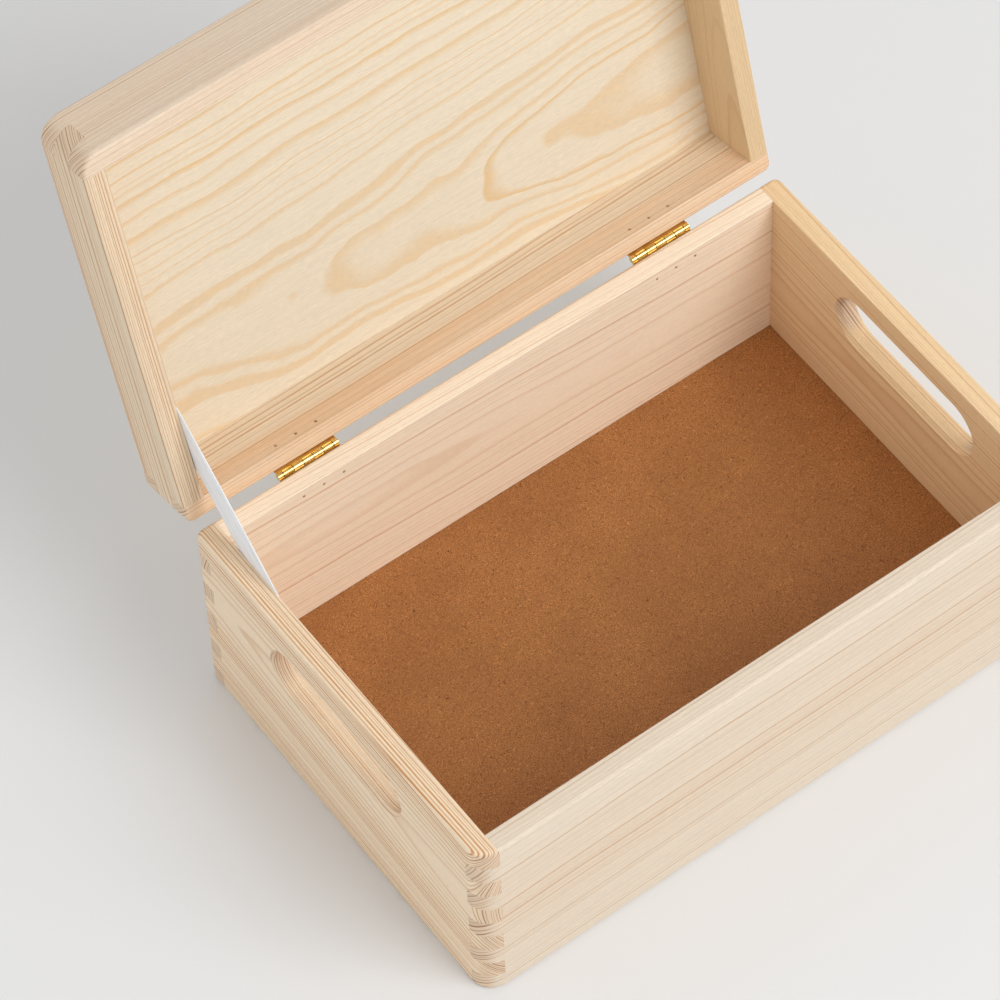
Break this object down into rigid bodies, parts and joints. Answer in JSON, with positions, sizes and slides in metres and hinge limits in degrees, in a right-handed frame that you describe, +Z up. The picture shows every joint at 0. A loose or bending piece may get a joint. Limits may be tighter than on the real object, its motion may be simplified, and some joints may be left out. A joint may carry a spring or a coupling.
{
  "type": "wooden box",
  "caption": "Finger-jointed pale softwood box with a hinged lid held open by a ribbon stay, hand-hold slots in its sides and a hardboard bottom.",
  "frame": {"origin": "on the surface that the box stands on, under the middle of the overall outline with the lid open", "axes": "+X along the box's length to the right, seen from the front; +Y from the front to the hinged back; +Z up"},
  "size_m": [0.3012, 0.2823, 0.2976],
  "materials": {
    "pine": "bare sanded softwood with fine growth rings",
    "hardboard": "smooth brown pressed fibre board",
    "lid_veneer": "bare softwood veneer with wide wavy figure",
    "hinge_brass": "polished brass",
    "nail_steel": "plain drawn steel wire",
    "ribbon_tape": "woven white tape"
  },
  "bodies": {
    "box": {"front_wall": "pine", "back_wall": "pine", "left_wall": "pine", "right_wall": "pine", "bottom_panel": "hardboard", "left_hinge_box_leaf": "hinge_brass", "right_hinge_box_leaf": "hinge_brass", "left_hinge_pin": "hinge_brass", "right_hinge_pin": "hinge_brass", "box_hinge_nails": "nail_steel", "box_ribbon_staple": "nail_steel", "stay_ribbon": "ribbon_tape"},
    "lid": {"lid_front_wall": "pine", "lid_back_wall": "pine", "lid_left_wall": "pine", "lid_right_wall": "pine", "lid_panel": "lid_veneer", "left_hinge_lid_leaf": "hinge_brass", "right_hinge_lid_leaf": "hinge_brass", "lid_hinge_nails": "nail_steel", "lid_ribbon_staple": "nail_steel"}
  },
  "joints": [
    {"name": "lid_hinge", "type": "hinge", "parent": "box", "child": "lid", "pos_m": [0, 0.05696, 0.1067], "axis": [1, 0, 0], "range_deg": [0, 105], "deforming": ["stay_ribbon"]}
  ]
}
